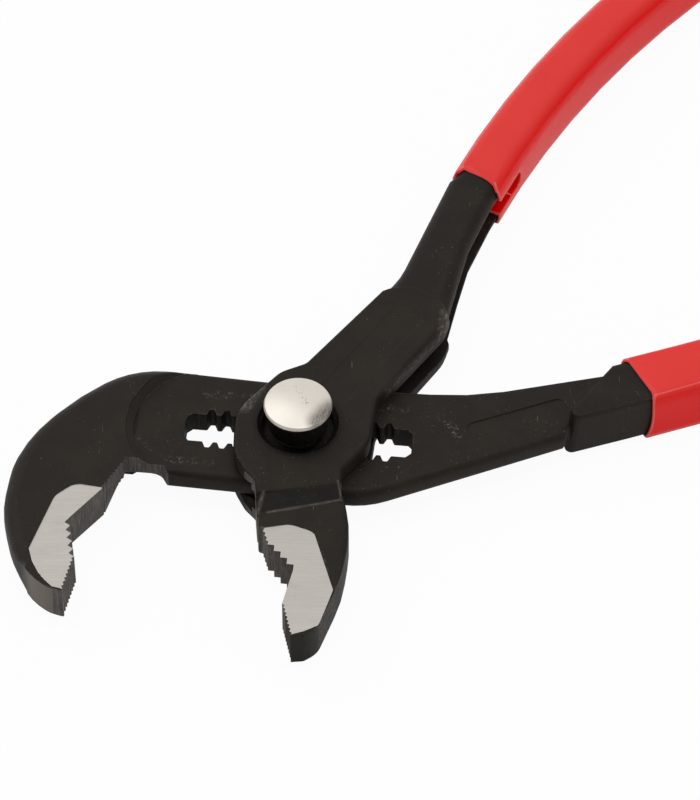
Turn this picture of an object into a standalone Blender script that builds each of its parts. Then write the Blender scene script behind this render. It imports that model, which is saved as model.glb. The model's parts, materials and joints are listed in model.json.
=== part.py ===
"""Water pump pliers with a box joint and a push-button setting.

The fork arm carries the lower jaw and two cheeks. The slotted arm runs between the cheeks and carries the
hooked upper jaw. A bolt through both has two lugs that sit in a pair of the slot's notches. Pressing the
button drops the lugs out of the slot, and the slotted arm slides to another pair of notches.

The tool lies flat. Lengths are in millimetres and angles in degrees, and MM makes metres of a length where
a shape is made. Heights are measured from the mid-plane of the tool, and plan points from the pivot axis.
"""

import math

import bmesh
import bpy
from mathutils import Matrix, Vector

MM = 0.001

# Stack of the box joint
SLOT_PLATE = 5.2          # thickness of the slotted arm between the cheeks
SLIT_CLEARANCE = 0.3      # on each side of that arm
CHEEK = 4.0               # thickness of each cheek
JAW = 8.8                 # thickness of both jaws
RUN_CLEARANCE = 0.3       # between pieces that seat or turn on one another
FORGED_EDGE = 0.8         # rounding on the rims of the forgings, where a corner gives none of its own

# Toothed slot
NOTCHES = 13              # pairs of notches, so as many settings
NOTCH_PITCH = 3.05
NOTCH_DEPTH = 1.45
NOTCH_MOUTH = 2.2
NOTCH_ROOT = 0.9
NOTCH_FILLET = 0.3
SLOT_END_PLAY = 0.4       # between the bolt's key and the end of the slot
SLOT_CORNER = 1.1
SLOT_TILT = -5.8          # direction of the slot as the tool lies

# Bolt, button, spring and washer
SHANK_D = 6.6
KEY_LENGTH = 9.4          # flats that turn with the slot and stop the bolt under the front cheek
KEY_SUNK = 0.4            # how far the key runs down over the lugs
LUG_RADIAL_PLAY = 0.3
LUG_SIDE_PLAY = 0.25
LUG_FOOT = 0.2            # plain end of the bolt below the lugs
PRESS_TRAVEL = 2.6
SPIGOT_D = 4.8
SPIGOT_LENGTH = 3.0
BUTTON_D = 14.0
BUTTON_RISE = 5.8         # rim of the button above the cheek
BUTTON_CROWN = 1.2        # height of the dome over the rim
BUTTON_RIM = 0.9          # the cap's rim stands out over its narrower skirt
BUTTON_OVERHANG = 0.8
BUTTON_WALL = 1.0
BUTTON_BOSS_WALL = 1.2    # round the bolt's spigot
BUTTON_EDGE = 0.5
COUNTERBORE_PLAY = 0.4
COUNTERBORE_FLOOR = 0.9   # steel left under the counterbore
COUNTERBORE_CHAMFER = 1.05
WASHER = 0.6
SPRING_WIRE = 0.7
SPRING_TURNS = 4
SPRING_POINTS = 10        # points on one turn

# Handles: each spine is an arc with a start, two directions and a length
HANDLE_CORE = 12.0        # thickness of the steel under the grips
FORK_START = (26.5, 38.6)
FORK_ANGLES = (73.0, 38.0)
FORK_LENGTH = 144.0
FORK_WIDTH = (10.2, 9.6)        # at the start and at the end of the spine
FORK_EDGE = 2.6
TANG_START = (34.7, 12.4)       # from the slot's last notch on the handle's side
TANG_ANGLES = (23.0, 31.5)
TANG_LENGTH = 131.0
TANG_WIDTH = (11.6, 10.2)
TANG_EDGE = 1.3
TANG_STEP = (13.0, -0.9)  # slanted start of the thick tang along the spine, on its left and on its right
TANG_CORNER = 1.8
COAT = 0.75               # dipped plastic
COAT_GAP = 0.15
FORK_MOUTH = (32.0, 31.2)       # start of the coat along the spine, on its left and on its right
TANG_MOUTH = (15.2, 17.5)
HOLLOW_LEAD = 8.0         # how far the hollow of a coat is cut on past its mouth
SLIT_PAST_MOUTH = 11.8    # how far the slit between the strips runs on under the coat

# Turning range that the shapes leave room for
CLOSING = 16.0
OPENING = 15.0
SWEEP_MARGIN = 1.5
ROOF_CLEARANCE = 0.5      # between the slotted arm's lower edge and the roof under it
ROOF_REACH = 24.0

# Teeth of the jaws
COARSE_DEPTH = 1.0
COARSE_TEETH = (5, 4)     # in the upper jaw and in the lower
FINE_DEPTH = 0.4
FINE_TEETH = 8
BITE_REACH = 3.0          # how far the cut of the teeth runs on past the tips of the jaws

# Plan of the slotted arm with the slot along x. Corners are (x, y, radius of the corner), and a fourth value is
# the rounding of the rim there. The hook's x is measured from the slot's last notch on the hook's side, and the
# arm's from the last notch on the handle's side.
RECESS_R = 17.2           # milled recess round the slot's last notch, where the cheek turns: at the face
RECESS_FLOOR_R = 15.6     # and on its floor
RECESS_SUNK = 0.2         # the recess is cut this far into the plate that fills it
ARM_DEPTH = 14.1          # from the slot's axis to the arm's lower edge at its lowest
TONGUE = [
    (-7.0, -12.3, 0.0, 1.2), (-12.6, -11.3, 0.0, 0.0), (-15.0, -6.0, 0.0, 0.0), (-15.0, 6.0, 0.0, 0.0),
    (-11.5, 12.4, 0.0, 0.0), (-7.2, 14.7, 0.0, 1.0),
]
ARM = [
    (-15.0, 14.0, 90.0, 1.8), (15.2, 14.75, 60.0, 1.8), (44.9, 23.2, 0.0), (50.5, 21.4, 0.0), (50.5, 15.6, 0.0),
    (40.2, 10.6, 0.0), (35.9, 5.3, 0.0, 1.8), (-3.1, -14.4, 18.0, 1.8), (-30.0, -13.0, 90.0, 1.8),
]
HOOK = [
    (-3.9, -9.0, 0.0, 0.0), (-8.7, -11.5, 0.0, 0.0), (-15.3, -13.0, 0.0, 0.0), (-18.2, -19.0, 0.0, 0.0),
    (-23.6, -27.4, 0.0, 0.0), (-21.5, -37.2, 0.0, 0.0), (-22.2, -45.9, 0.0, 0.0), (-24.6, -45.8, 0.0, 1.0),
    (-26.9, -45.2, 6.0, 1.4), (-30.3, -43.1, 15.0, 2.0), (-35.2, -36.9, 24.0, 2.6), (-39.3, -25.5, 26.0, 3.2),
    (-39.1, -14.1, 20.0, 3.6), (-36.6, -5.0, 33.0, 3.6), (-28.2, 6.1, 50.0, 3.6), (-17.8, 14.7, 20.0, 3.6),
    (-3.9, 14.7, 0.0, 3.6),
]
HOOK_TIP = (-23.9, -45.3)
HOOK_FINE_END = (-22.7, -37.1)
HOOK_VEE = (-25.1, -27.4)
HOOK_SHOULDER = (-19.5, -19.2)
HOOK_ROOT = (-16.3, -12.3)
HOOK_THROAT = [(-16.2, -10.6), (-8.1, -10.6), (-5.5, -15.0)]    # ground flat beside the root, out of the mouth
HOOK_EASE = [                   # the back is hollowed along the toothed wall and the throat
    (-19.5, -19.2), (-17.1, -8.1), (-9.5, -8.1), (-6.4, -13.5), (-6.4, -30.0), (-19.5, -30.0),
]
HOOK_EASE_R = 2.5
HOOK_EASE_TOP = -0.4
HOOK_LAND = [
    (-17.5, -19.2, 0.0), (-25.2, -18.5, 3.5), (-28.8, -22.1, 3.5), (-32.4, -37.5, 2.0), (-27.3, -46.0, 0.0),
    (-27.3, -50.0, 0.0), (-17.5, -50.0, 0.0),
]
PANEL = [(17.2, 2.6, 1.4), (33.7, 10.4, 1.4), (31.9, 14.2, 1.4), (15.5, 6.3, 1.4)]
PANEL_DEPTH = 0.3

# Plan of the fork arm as the tool lies
PAD_CENTRE = (22.0, 27.6)       # the thick part of the cheeks ends on an arc
PAD_R = 9.5
PAD_ANGLES = (119.0, 10.0)
PAD_EDGE = (0.5, 2.4)     # rounding of the rim at the start of the arc and at its end
CHEEK_LEFT = [
    (-8.2, -22.5, 0.0), (-8.7, -15.2, 1.5), (-11.0, -12.4, 3.0), (-13.2, -7.8, 6.0), (-13.0, 3.3, 11.0),
    (-3.8, 13.8, 6.0), (1.5, 16.1, 3.0),
]
CHEEK_RIGHT = [
    (30.3, 25.6, 10.0, 2.4), (15.9, 6.0, 5.0), (14.4, -5.6, 6.0), (8.9, -12.0, 3.0), (8.8, -21.0, 0.0),
]
EASE_ANGLES = (180.0, 237.0)    # here the cheeks' inner edges are eased, to clear the hook's recess
EASE_REACH = 22.0
STRIP_LEFT = [(12.0, 29.5, 0.0), (20.9, 41.2, 18.0), (31.7, 68.8, 0.0)]    # from the cheeks to the coat
STRIP_RIGHT = [(33.3, 40.5, 40.0), (31.1, 31.0, 0.0), (24.0, 22.0, 0.0)]
STRIP_FROM = (31.6, 14.0)       # where the handle's width begins along the spine, on the left and on the right
RAMP_MIDDLE = (0.65, -16.4)     # where the ramp from cheek to jaw begins, and its lie and slope
RAMP_LIE = 9.5
RAMP_SLOPE = 30.0
RAMP_BLOCK = 30.0
LOWER_JAW = [
    (7.4, -13.5, 0.0), (9.3, -17.0, 8.0), (10.75, -25.5, 30.0, 1.4), (8.9, -37.8, 40.0, 1.8),
    (4.1, -50.6, 5.0, 2.2), (1.4, -52.5, 1.6, 1.2), (-2.2, -52.8, 0.0), (-3.9, -44.6, 0.0), (-2.2, -37.2, 0.0),
    (-7.4, -29.6, 0.0), (-8.0, -24.6, 1.5), (-7.6, -20.5, 4.0), (-6.0, -13.5, 0.0),
]
LOWER_TOP = (-7.2, -25.2)
LOWER_COARSE = (-6.0, -29.7)
LOWER_VEE = (-0.8, -36.3)
LOWER_HEEL = (-2.9, -44.6)
LOWER_TIP = (-1.2, -52.4)
LOWER_TOP_TEETH = 4
LOWER_CLEAR = -12.0       # the bite's cut runs out of the mouth to here
LOWER_LAND = [
    (-9.5, -26.0, 0.0), (-1.5, -24.6, 4.0), (3.4, -26.6, 3.5), (4.6, -29.9, 3.0), (7.4, -41.7, 2.0),
    (4.6, -50.5, 0.0), (3.0, -56.0, 0.0), (-9.5, -56.0, 0.0),
]
LAND_DEPTH = 0.13         # the ground lands on the sides of both jaws lie this far under the forged face

# Sizes that follow
SLIT_HALF = SLOT_PLATE / 2 + SLIT_CLEARANCE
FACE = SLIT_HALF + CHEEK
CORE_HALF = HANDLE_CORE / 2
COAT_HALF = CORE_HALF + COAT_GAP + COAT
SEAT = SLIT_HALF + COUNTERBORE_FLOOR
RIM = FACE + BUTTON_RISE
CEILING = RIM - BUTTON_WALL
SKIRT = SEAT + RUN_CLEARANCE + PRESS_TRAVEL
SKIRT_OUTER = BUTTON_D / 2 - BUTTON_OVERHANG
SKIRT_INNER = SKIRT_OUTER - BUTTON_WALL
WASHER_LOW = SEAT + RUN_CLEARANCE
WASHER_RADIUS = SKIRT_INNER - RUN_CLEARANCE
SPIGOT_HOLE = SPIGOT_D / 2 + RUN_CLEARANCE
BOSS_RADIUS = SPIGOT_HOLE + BUTTON_BOSS_WALL
SPRING_RADIUS = (BOSS_RADIUS + SKIRT_INNER) / 2
SPRING_LOW = WASHER_LOW + WASHER + RUN_CLEARANCE
SHOULDER = CEILING - RUN_CLEARANCE - SPIGOT_LENGTH
BOSS_LOW = SHOULDER + RUN_CLEARANCE
TAIL = PRESS_TRAVEL + RUN_CLEARANCE - FACE
LUG_TOP = PRESS_TRAVEL - SLIT_HALF
SHANK_HOLE = SHANK_D / 2 + RUN_CLEARANCE
SLOT_HALF_WIDTH = SHANK_HOLE
LUG_REACH = SLOT_HALF_WIDTH + NOTCH_DEPTH - LUG_RADIAL_PLAY
REAR_BORE = max(LUG_REACH, KEY_LENGTH / 2) + RUN_CLEARANCE
SPREAD = (NOTCHES - 1) / 2 * NOTCH_PITCH
SLOT_END = SPREAD + KEY_LENGTH / 2 + SLOT_END_PLAY
SLIT_END = FORK_MOUTH[1] + SLIT_PAST_MOUTH

BLACK_STEEL = ("black steel", (0.032, 0.027, 0.023, 1.0), 0.55, 0.6)
NICKEL = ("nickel", (0.86, 0.80, 0.72, 1.0), 0.25, 1.0)
SPRING_STEEL = ("spring steel", (0.42, 0.40, 0.38, 1.0), 0.35, 1.0)
RED_COAT = ("red dipped plastic", (0.75, 0.03, 0.025, 1.0), 0.3, 0.0)


def clear_scene():
    for item in list(bpy.data.objects):
        bpy.data.objects.remove(item, do_unlink=True)


def new_collection(name):
    collection = bpy.data.collections.new(name)
    bpy.context.scene.collection.children.link(collection)
    return collection


def material(name, colour, roughness, metallic):
    made = bpy.data.materials.get(name) or bpy.data.materials.new(name)
    made.use_nodes = True
    shader = made.node_tree.nodes["Principled BSDF"]
    shader.inputs["Base Color"].default_value = colour
    shader.inputs["Roughness"].default_value = roughness
    shader.inputs["Metallic"].default_value = metallic
    return made


def on_circle(centre, radius, angle):
    turn = math.radians(angle)
    return (centre[0] + radius * math.cos(turn), centre[1] + radius * math.sin(turn))


def arc(centre, radius, start, end, step=8.0):
    count = max(2, math.ceil(abs(end - start) / step))
    return [on_circle(centre, radius, start + (end - start) * i / count) for i in range(count + 1)]


def rounded(corners, step=9.0):
    """The closed outline through (x, y, radius) corners, with each corner turned on an arc of its radius."""
    points = []
    for i, (x, y, radius, *rim) in enumerate(corners):
        here = Vector((x, y))
        before = (Vector(corners[i - 1][:2]) - here).normalized()
        after = (Vector(corners[(i + 1) % len(corners)][:2]) - here).normalized()
        half = before.angle(after) / 2
        if radius <= 0.0 or math.pi - 2 * half < 0.001:
            points.append((x, y, *rim))
            continue
        centre = here + (before + after).normalized() * radius / math.sin(half)
        first = here + before * radius / math.tan(half) - centre
        last = here + after * radius / math.tan(half) - centre
        sweep = math.degrees(last.angle_signed(first))
        start = math.degrees(math.atan2(first.y, first.x))
        points += [(*point, *rim) for point in arc(centre, radius, start, start + sweep, step)]
    return points


def shifted(points, start):
    """The same points with x measured from another start."""
    return [(start + point[0], *point[1:]) for point in points]


def spine(start, angles, length, width, edge):
    return {"start": start, "angles": angles, "length": length, "width": width, "edge": edge}


def spine_frame(spine, along):
    """The point on a spine's arc at a length along it, and the direction there."""
    first, last = (math.radians(angle) for angle in spine["angles"])
    bend = (last - first) / spine["length"]
    turn = first + bend * along
    x = spine["start"][0] + (math.sin(turn) - math.sin(first)) / bend
    y = spine["start"][1] - (math.cos(turn) - math.cos(first)) / bend
    return Vector((x, y)), Vector((math.cos(turn), math.sin(turn)))


def beside(spine, along, offset):
    """The point at a distance to the left of the spine."""
    point, heading = spine_frame(spine, along)
    return (point.x - heading.y * offset, point.y + heading.x * offset)


def bar(spine, left_from, right_from, grow=0.0, count=9):
    """The outline of a tapered bar along a spine, from a slanted start to a round end."""
    first, last = spine["width"]
    straight = spine["length"] - last / 2

    def half_width(along):
        return (first + (last - first) * along / spine["length"]) / 2 + grow

    left = [left_from + (straight - left_from) * i / count for i in range(count + 1)]
    right = [right_from + (straight - right_from) * i / count for i in range(count + 1)]
    centre, heading = spine_frame(spine, straight)
    lie = math.degrees(math.atan2(heading.y, heading.x))
    outline = [beside(spine, along, half_width(along)) for along in left[:-1]]
    outline += arc(centre, half_width(straight), lie + 90.0, lie - 90.0, 15.0)
    outline += [beside(spine, along, -half_width(along)) for along in reversed(right[:-1])]
    return outline


def teeth(start, end, count, depth):
    """Tooth tips from start to end, with a valley to the right of each step."""
    first, last = Vector(start), Vector(end)
    step = (last - first) / count
    inward = Vector((step.y, -step.x)).normalized() * depth
    points = [start]
    for i in range(count):
        valley = first + step * (i + 0.5) + inward
        points += [tuple(valley), tuple(first + step * (i + 1))]
    return points


def link(item, collection, frame):
    collection.objects.link(item)
    item.parent = frame
    if collection is CUTTERS:
        item.hide_render = True
        item.display_type = "WIRE"
    return item


def inward_ways(outline):
    """For each point, the way in from the outline that stays one unit clear of both its sides."""
    spots = [Vector(point[:2]) for point in outline]
    area = sum(spots[i - 1].cross(spots[i]) for i in range(len(spots)))
    ways = []
    for i, spot in enumerate(spots):
        before = (spot - spots[i - 1]).normalized() * math.copysign(1.0, area)
        after = (spots[(i + 1) % len(spots)] - spot).normalized() * math.copysign(1.0, area)
        ways.append(Vector((-before.y - after.y, before.x + after.x)) / (1.0 + before.dot(after)))
    return ways


def plate(name, outline, low, high, frame, collection, edge=0.0, rounds=2):
    """A flat outline between two heights. Its rims are rounded by edge, or by a point's own third value."""
    rims = [(*point, edge)[2] for point in outline]
    ways = inward_ways(outline)
    turns = [math.pi / 2 * i / rounds for i in range(rounds + 1)] if max(rims) > 0.0 else [math.pi / 2]
    shape = bmesh.new()
    rings = []
    for turn, face, up in [(t, low, 1) for t in turns] + [(t, high, -1) for t in reversed(turns)]:
        ring = []
        for point, way, rim in zip(outline, ways, rims):
            spot = Vector(point[:2]) + way * rim * (1.0 - math.sin(turn))
            height = face + up * rim * (1.0 - math.cos(turn))
            ring.append(shape.verts.new((spot.x * MM, spot.y * MM, height * MM)))
        rings.append(ring)
    shape.faces.new(rings[0])
    shape.faces.new(rings[-1])
    for lower, upper in zip(rings, rings[1:]):
        for i in range(len(outline)):
            shape.faces.new((lower[i - 1], lower[i], upper[i], upper[i - 1]))
    bmesh.ops.remove_doubles(shape, verts=shape.verts, dist=0.002 * MM)
    bmesh.ops.recalc_face_normals(shape, faces=shape.faces)
    mesh = bpy.data.meshes.new(name)
    shape.to_mesh(mesh)
    shape.free()
    return link(bpy.data.objects.new(name, mesh), collection, frame)


def turned(name, profile, frame, collection, steps=40, along=0.0):
    """A turned piece from (radius, height) points that run down its outer side, at a length along x."""
    mesh = bpy.data.meshes.new(name)
    points = [(radius * MM, 0.0, height * MM) for radius, height in profile]
    edges = [(i, i + 1) for i in range(len(points) - 1)]
    if profile[0][0] > 0.0:
        edges.append((len(points) - 1, 0))
    mesh.from_pydata(points, edges, [])
    piece = link(bpy.data.objects.new(name, mesh), collection, frame)
    piece.location.x = along * MM
    screw = piece.modifiers.new("turned", "SCREW")
    screw.axis = "Z"
    screw.steps = screw.render_steps = steps
    screw.use_merge_vertices = True
    screw.merge_threshold = 0.00001
    return piece


def combine(piece, other, operation):
    cut = piece.modifiers.new(other.name, "BOOLEAN")
    cut.operation = operation
    cut.object = other


def finish(piece, look):
    piece.data.materials.clear()
    piece.data.materials.append(material(*look))
    return piece


def slot_outline():
    """The slot: two rows of notches along x, and a plain neck at each end."""
    half = SLOT_HALF_WIDTH
    notches = []
    for i in range(NOTCHES):
        x = i * NOTCH_PITCH - SPREAD
        notches += [(x - NOTCH_MOUTH / 2, half), (x - NOTCH_ROOT / 2, half + NOTCH_DEPTH)]
        notches += [(x + NOTCH_ROOT / 2, half + NOTCH_DEPTH), (x + NOTCH_MOUTH / 2, half)]
    row = [(-SLOT_END, half - SLOT_CORNER, 0.0), (-SLOT_END + SLOT_CORNER, half, 0.0)]
    row += [(x, y, NOTCH_FILLET) for x, y in notches]
    row += [(SLOT_END - SLOT_CORNER, half, 0.0), (SLOT_END, half - SLOT_CORNER, 0.0)]
    return rounded(row + [(x, -y, radius) for x, y, radius in reversed(row)], 35.0)


def hook_bite():
    """What is cut out of the upper jaw's mouth: fine teeth at the tip, coarse ones, a vee and a toothed wall."""
    tip, fine_end, vee, shoulder, root, *throat = shifted(
        [HOOK_TIP, HOOK_FINE_END, HOOK_VEE, HOOK_SHOULDER, HOOK_ROOT, *HOOK_THROAT], -SPREAD
    )
    below = tip[1] - BITE_REACH
    bite = [(tip[0], below)] + teeth(tip, fine_end, FINE_TEETH, -FINE_DEPTH)
    bite += teeth(fine_end, vee, COARSE_TEETH[0], -COARSE_DEPTH)[1:]
    bite += teeth(shoulder, root, FINE_TEETH, -FINE_DEPTH)
    return bite + throat + [(throat[-1][0], below)]


def grind_lands(jaw, outline, frame):
    """Grinds the land on both sides of a jaw."""
    low, high = JAW / 2 - LAND_DEPTH, JAW / 2 + LAND_DEPTH
    for name, low, high in (("_land_front", low, high), ("_land_back", -high, -low)):
        combine(jaw, plate(jaw.name + name, rounded(outline), low, high, frame, CUTTERS), "DIFFERENCE")


def hook_jaw(frame):
    """The thick hook, with the milled recess for the cheeks on both sides."""
    jaw = plate("hook_jaw", rounded(shifted(HOOK, -SPREAD)), -JAW / 2, JAW / 2, frame, CUTTERS, rounds=4)
    floor = SLOT_PLATE / 2 - RECESS_SUNK
    widen = (RECESS_R - RECESS_FLOOR_R) / (JAW / 2 - SLOT_PLATE / 2)
    rim = RECESS_R + widen * JAW / 2
    foot = RECESS_FLOOR_R - widen * RECESS_SUNK
    profile = [(0.0, JAW), (rim, JAW), (foot, floor), (0.0, floor)]
    for name, side in (("recess_front", 1), ("recess_back", -1)):
        sided = [(radius, side * height) for radius, height in profile][::side]
        combine(jaw, turned(name, sided, frame, CUTTERS, along=-SPREAD), "DIFFERENCE")
    grind_lands(jaw, shifted(HOOK_LAND, -SPREAD), frame)
    return jaw


def slotted_arm(frame):
    half = SLOT_PLATE / 2
    body = rounded(shifted(TONGUE, -SPREAD) + shifted(ARM, SPREAD))
    arm = plate("slotted_arm", body, -half, half, frame, PARTS, FORGED_EDGE, 3)
    bars = [(x, y, 0.0) for x, y in bar(TANG_SPINE, *TANG_STEP)]
    bars[-1] = (*bars[-1][:2], TANG_CORNER)
    tang = plate("tang", rounded(bars), -CORE_HALF, CORE_HALF, frame, CUTTERS, TANG_EDGE)
    bite = plate("hook_bite", hook_bite(), -JAW, JAW, frame, CUTTERS)
    under = shifted(HOOK_EASE, -SPREAD)
    ease = plate("hook_ease", under, -JAW, HOOK_EASE_TOP, frame, CUTTERS, HOOK_EASE_R, 4)
    slot = plate("toothed_slot", slot_outline(), -SLOT_PLATE, SLOT_PLATE, frame, CUTTERS)
    sunk = rounded(shifted(PANEL, SPREAD))
    panel = plate("sunk_panel", sunk, half - PANEL_DEPTH, half + PANEL_DEPTH, frame, CUTTERS)
    combine(arm, hook_jaw(frame), "UNION")
    combine(arm, tang, "UNION")
    for cutter in (bite, ease, slot, panel):
        combine(arm, cutter, "DIFFERENCE")
    return finish(arm, BLACK_STEEL)


def slit_outline():
    """The gap between the cheeks: open at both sides, and closed below by a roof that the arm swings over."""
    lie = -90.0 + SLOT_TILT
    closed = lie + CLOSING + SWEEP_MARGIN
    opened = lie - OPENING - SWEEP_MARGIN
    clear = ROOF_CLEARANCE + ARM_DEPTH
    ridge = clear / math.cos(math.radians((closed - opened) / 2))
    apex = on_circle((0.0, 0.0), ridge, (closed + opened) / 2)
    left_foot = on_circle(apex, ROOF_REACH, closed - 90.0)
    right_foot = on_circle(apex, ROOF_REACH, opened + 90.0)
    far_right = beside(FORK_SPINE, SLIT_END, -2 * FORK_WIDTH[0])
    far_left = beside(FORK_SPINE, SLIT_END, 2 * FORK_WIDTH[0])
    return [right_foot, apex, left_foot, (-ROOF_REACH, ROOF_REACH), far_left, far_right, (2 * ROOF_REACH, 0.0)]


def ramp_cutter(name, side, frame):
    """A block whose underside is the slope from the cheek's face down to the jaw's."""
    lie = Matrix.Rotation(math.radians(RAMP_LIE), 4, "Z")
    slope = Matrix.Rotation(math.radians(RAMP_SLOPE), 4, "X")
    start = Matrix.Translation(Vector((RAMP_MIDDLE[0], RAMP_MIDDLE[1], FACE)) * MM)
    lift = Matrix.Translation(Vector((0.0, -RAMP_BLOCK / 2, RAMP_BLOCK / 2)) * MM)
    shape = bmesh.new()
    bmesh.ops.create_cube(shape, size=RAMP_BLOCK * MM, matrix=start @ lie @ slope @ lift)
    if side < 0:
        bmesh.ops.scale(shape, verts=shape.verts, vec=(1.0, 1.0, -1.0))
        bmesh.ops.reverse_faces(shape, faces=shape.faces)
    mesh = bpy.data.meshes.new(name)
    shape.to_mesh(mesh)
    shape.free()
    return link(bpy.data.objects.new(name, mesh), CUTTERS, frame)


def lower_bite():
    """What is cut out of the lower jaw's mouth."""
    below = LOWER_TIP[1] - BITE_REACH
    bite = [(LOWER_CLEAR, LOWER_TOP[1])] + teeth(LOWER_TOP, LOWER_COARSE, LOWER_TOP_TEETH, -FINE_DEPTH)
    bite += teeth(LOWER_COARSE, LOWER_VEE, COARSE_TEETH[1], -COARSE_DEPTH)[1:]
    bite += teeth(LOWER_HEEL, LOWER_TIP, FINE_TEETH, -FINE_DEPTH)
    return bite + [(LOWER_TIP[0], below), (LOWER_CLEAR, below)]


def joint_bores(frame):
    """The button's counterbore with the shank's bore under it, and the open bore at the back for the lugs."""
    beyond = FACE + COUNTERBORE_CHAMFER
    well = BUTTON_D / 2 + COUNTERBORE_PLAY
    lip = well + 2 * COUNTERBORE_CHAMFER
    front = [
        (0.0, beyond), (lip, beyond), (well, FACE - COUNTERBORE_CHAMFER), (well, SEAT), (SHANK_HOLE, SEAT),
        (SHANK_HOLE, 0.0), (0.0, 0.0),
    ]
    rear = [(0.0, 0.0), (REAR_BORE, 0.0), (REAR_BORE, -beyond), (0.0, -beyond)]
    return turned("front_bore", front, frame, CUTTERS), turned("rear_bore", rear, frame, CUTTERS)


def cheek_ease(frame):
    """What eases the inner edges of the cheeks: the form of the hook's recess, less a clearance."""
    widen = (RECESS_R - RECESS_FLOOR_R) / (JAW / 2 - SLOT_PLATE / 2)
    floor = SLOT_PLATE / 2
    top = JAW / 2 + RUN_CLEARANCE
    foot = RECESS_FLOOR_R - RUN_CLEARANCE
    rim = foot + widen * (top - floor)
    profile = [(rim, top), (EASE_REACH, top), (EASE_REACH, -top), (rim, -top), (foot, -floor), (foot, floor)]
    ease = turned("cheek_ease", profile, frame, CUTTERS)
    sector = [(0.0, 0.0)] + arc((0.0, 0.0), EASE_REACH, *EASE_ANGLES)
    combine(ease, plate("ease_sector", sector, -JAW, JAW, frame, CUTTERS), "INTERSECT")
    return ease


def fork_arm(frame):
    pad_end = arc(PAD_CENTRE, PAD_R, *PAD_ANGLES)
    for i, (x, y) in enumerate(pad_end):
        share = (i / (len(pad_end) - 1)) ** 5
        pad_end[i] = (x, y, 0.0, PAD_EDGE[0] + (PAD_EDGE[1] - PAD_EDGE[0]) * share)
    cheeks = rounded(CHEEK_LEFT + pad_end + CHEEK_RIGHT)
    arm = plate("fork_arm", cheeks, -FACE, FACE, frame, PARTS, FORGED_EDGE, 3)
    strips = [(x, y, 0.0) for x, y in bar(FORK_SPINE, *STRIP_FROM)]
    strips = rounded(STRIP_LEFT + strips + STRIP_RIGHT)
    handle = plate("fork_handle", strips, -CORE_HALF, CORE_HALF, frame, CUTTERS, FORK_EDGE, 3)
    jaw = plate("lower_jaw", rounded(LOWER_JAW), -JAW / 2, JAW / 2, frame, CUTTERS, FORGED_EDGE, 3)
    grind_lands(jaw, LOWER_LAND, frame)
    bite = plate("lower_bite", lower_bite(), -JAW, JAW, frame, CUTTERS)
    slit = plate("slit", slit_outline(), -SLIT_HALF, SLIT_HALF, frame, CUTTERS)
    for name, side in (("ramp_front", 1), ("ramp_back", -1)):
        combine(arm, ramp_cutter(name, side, frame), "DIFFERENCE")
    combine(arm, handle, "UNION")
    combine(arm, jaw, "UNION")
    for cutter in (slit, cheek_ease(frame), bite, *joint_bores(frame)):
        combine(arm, cutter, "DIFFERENCE")
    return finish(arm, BLACK_STEEL)


def joint_bolt(frame):
    """The pivot: a shank with a keyed part, two lugs at its lower end and a spigot for the button."""
    shank = SHANK_D / 2
    spigot = SPIGOT_D / 2
    profile = [
        (0.0, SHOULDER + SPIGOT_LENGTH), (spigot, SHOULDER + SPIGOT_LENGTH), (spigot, SHOULDER),
        (shank, SHOULDER), (shank, TAIL), (0.0, TAIL),
    ]
    bolt = turned("joint_bolt", profile, frame, PARTS)
    run = (KEY_LENGTH - SHANK_D) / 2
    key = arc((run, 0.0), shank, -90.0, 90.0, 15.0) + arc((-run, 0.0), shank, 90.0, 270.0, 15.0)
    tip = (NOTCH_ROOT - LUG_SIDE_PLAY) / 2
    base = NOTCH_MOUTH / 2 - LUG_SIDE_PLAY
    side = [(-base, shank), (-tip, LUG_REACH), (tip, LUG_REACH), (base, shank)]
    lugs = side + [(-x, -y) for x, y in side]
    key_top = SLIT_HALF - RUN_CLEARANCE
    combine(bolt, plate("bolt_key", key, LUG_TOP - KEY_SUNK, key_top, frame, CUTTERS), "UNION")
    combine(bolt, plate("bolt_lugs", lugs, TAIL + LUG_FOOT, LUG_TOP, frame, CUTTERS), "UNION")
    return finish(bolt, SPRING_STEEL)


def push_button(frame):
    """A domed cap that hides the spring, with a boss for the bolt's spigot."""
    outer = BUTTON_D / 2
    dome_radius = (outer**2 + BUTTON_CROWN**2) / (2 * BUTTON_CROWN)
    centre = (0.0, RIM + BUTTON_CROWN - dome_radius)
    rise = math.degrees(math.asin((outer - BUTTON_EDGE / 2) / dome_radius))
    dome = arc(centre, dome_radius, 90.0, 90.0 - rise, rise / 6)
    dome[0] = (0.0, RIM + BUTTON_CROWN)
    profile = dome + [
        (outer, RIM - BUTTON_EDGE), (outer, RIM - BUTTON_RIM), (SKIRT_OUTER, RIM - BUTTON_RIM),
        (SKIRT_OUTER, SKIRT), (SKIRT_INNER, SKIRT), (SKIRT_INNER, CEILING),
        (BOSS_RADIUS, CEILING), (BOSS_RADIUS, BOSS_LOW), (SPIGOT_HOLE, BOSS_LOW), (SPIGOT_HOLE, CEILING),
        (0.0, CEILING),
    ]
    return finish(turned("push_button", profile, frame, PARTS), NICKEL)


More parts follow.
